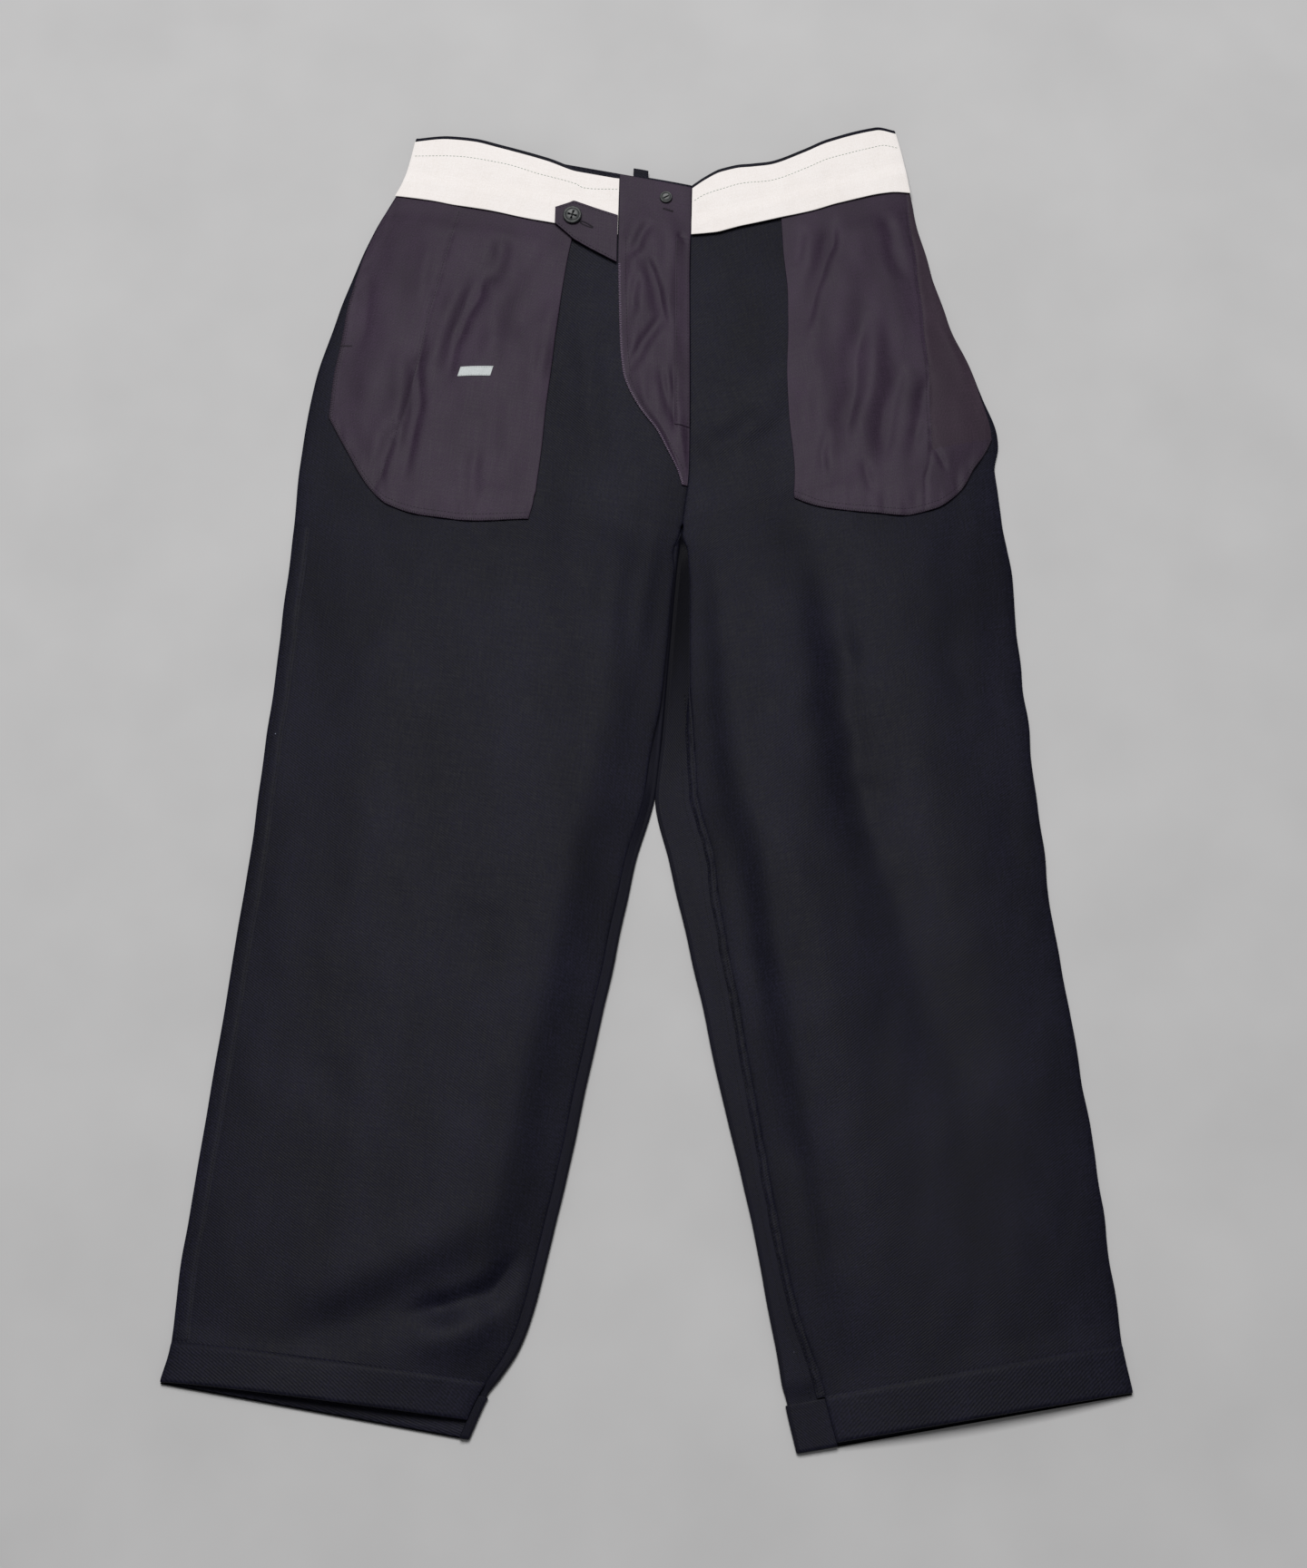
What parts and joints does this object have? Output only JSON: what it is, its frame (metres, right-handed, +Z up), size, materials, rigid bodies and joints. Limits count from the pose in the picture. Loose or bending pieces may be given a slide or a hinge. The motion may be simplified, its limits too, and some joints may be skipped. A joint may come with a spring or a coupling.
{
  "type": "wide leg chinos, turned inside out and laid flat",
  "caption": "Wide leg chinos laid flat and inside out: front and back panels, waist curtain, pocket bags, fly shield, waist tab and hems",
  "frame": {"origin": "centre of the bounding box's underside, on the surface that the chinos lie on", "axes": "+Z up from the surface, +Y from the hems towards the waist, +X to the right as seen from above; left and right name the sides as seen"},
  "size_m": [0.703, 1.0556, 0.0196],
  "materials": {
    "twill": "navy black brushed cotton twill, matt",
    "curtain_cotton": "off-white plain cotton waist curtain, matt",
    "lining_sateen": "dark aubergine cotton sateen, faint sheen",
    "woven_label": "blank pale woven label",
    "button": "dark grey resin sewing button, low gloss"
  },
  "bodies": {
    "root": {"front_left": "twill", "front_right": "twill", "back_left": "twill", "back_right": "twill", "waistband_front_left": "twill", "waistband_front_right": "twill", "waistband_back": "twill", "belt_loop_back": "twill", "hem_front_left": "twill", "hem_front_right": "twill", "hem_back_left": "twill", "hem_back_right": "twill", "seam_side_left": "twill", "seam_inner_right": "twill", "curtain_front_left": "curtain_cotton", "curtain_front_right": "curtain_cotton", "curtain_back": "curtain_cotton", "pocket_bag_left": "lining_sateen", "pocket_bag_right": "lining_sateen", "fly_shield": "lining_sateen", "fly_facing": "lining_sateen", "waist_tab": "lining_sateen", "pocket_label": "woven_label", "button_tab": "button", "button_fly": "button"}
  },
  "joints": []
}
